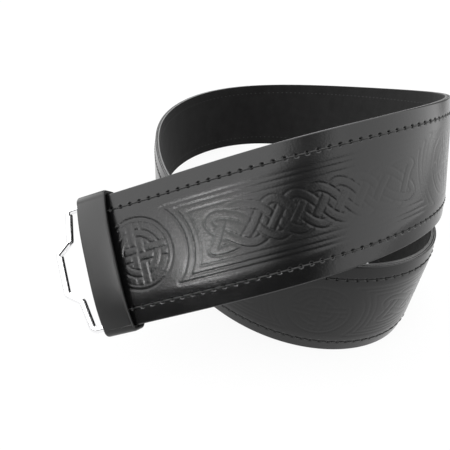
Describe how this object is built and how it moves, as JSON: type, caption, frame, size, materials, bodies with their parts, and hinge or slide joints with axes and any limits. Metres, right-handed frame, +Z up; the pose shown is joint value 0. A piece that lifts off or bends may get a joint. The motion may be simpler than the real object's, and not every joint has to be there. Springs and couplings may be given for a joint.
{
  "type": "kilt belt",
  "caption": "Black leather kilt belt standing on its edge in a loose coil, with a knotwork-embossed face, a leather keeper and a bent wire ring that takes a buckle's hook.",
  "frame": {"origin": "on the floor under the middle of the coil's bounding box", "axes": "+Z up from the floor, the coil's long way along Y, the end with the ring at the -X -Y corner"},
  "size_m": [0.2014, 0.29, 0.1187],
  "materials": {
    "face_leather": "semi-gloss black grain leather, embossed",
    "backing_leather": "matt black split leather",
    "keeper_leather": "smooth satin black leather",
    "ring_chrome": "polished chrome plate",
    "cut_edge": "dyed and burnished cut edge",
    "stitch_thread": "waxed black thread"
  },
  "bodies": {
    "belt": {"face_leather": "face_leather", "backing_leather": "backing_leather", "keeper_loop": "keeper_leather"},
    "ring": {"hook_ring": "ring_chrome"}
  },
  "joints": [
    {"name": "ring_rock", "type": "hinge", "parent": "belt", "child": "ring", "pos_m": [-0.07684, -0.12226, 0.05333], "axis": [-0.3106, 0.6272, 0.7143], "range_deg": [-25, 25]}
  ]
}
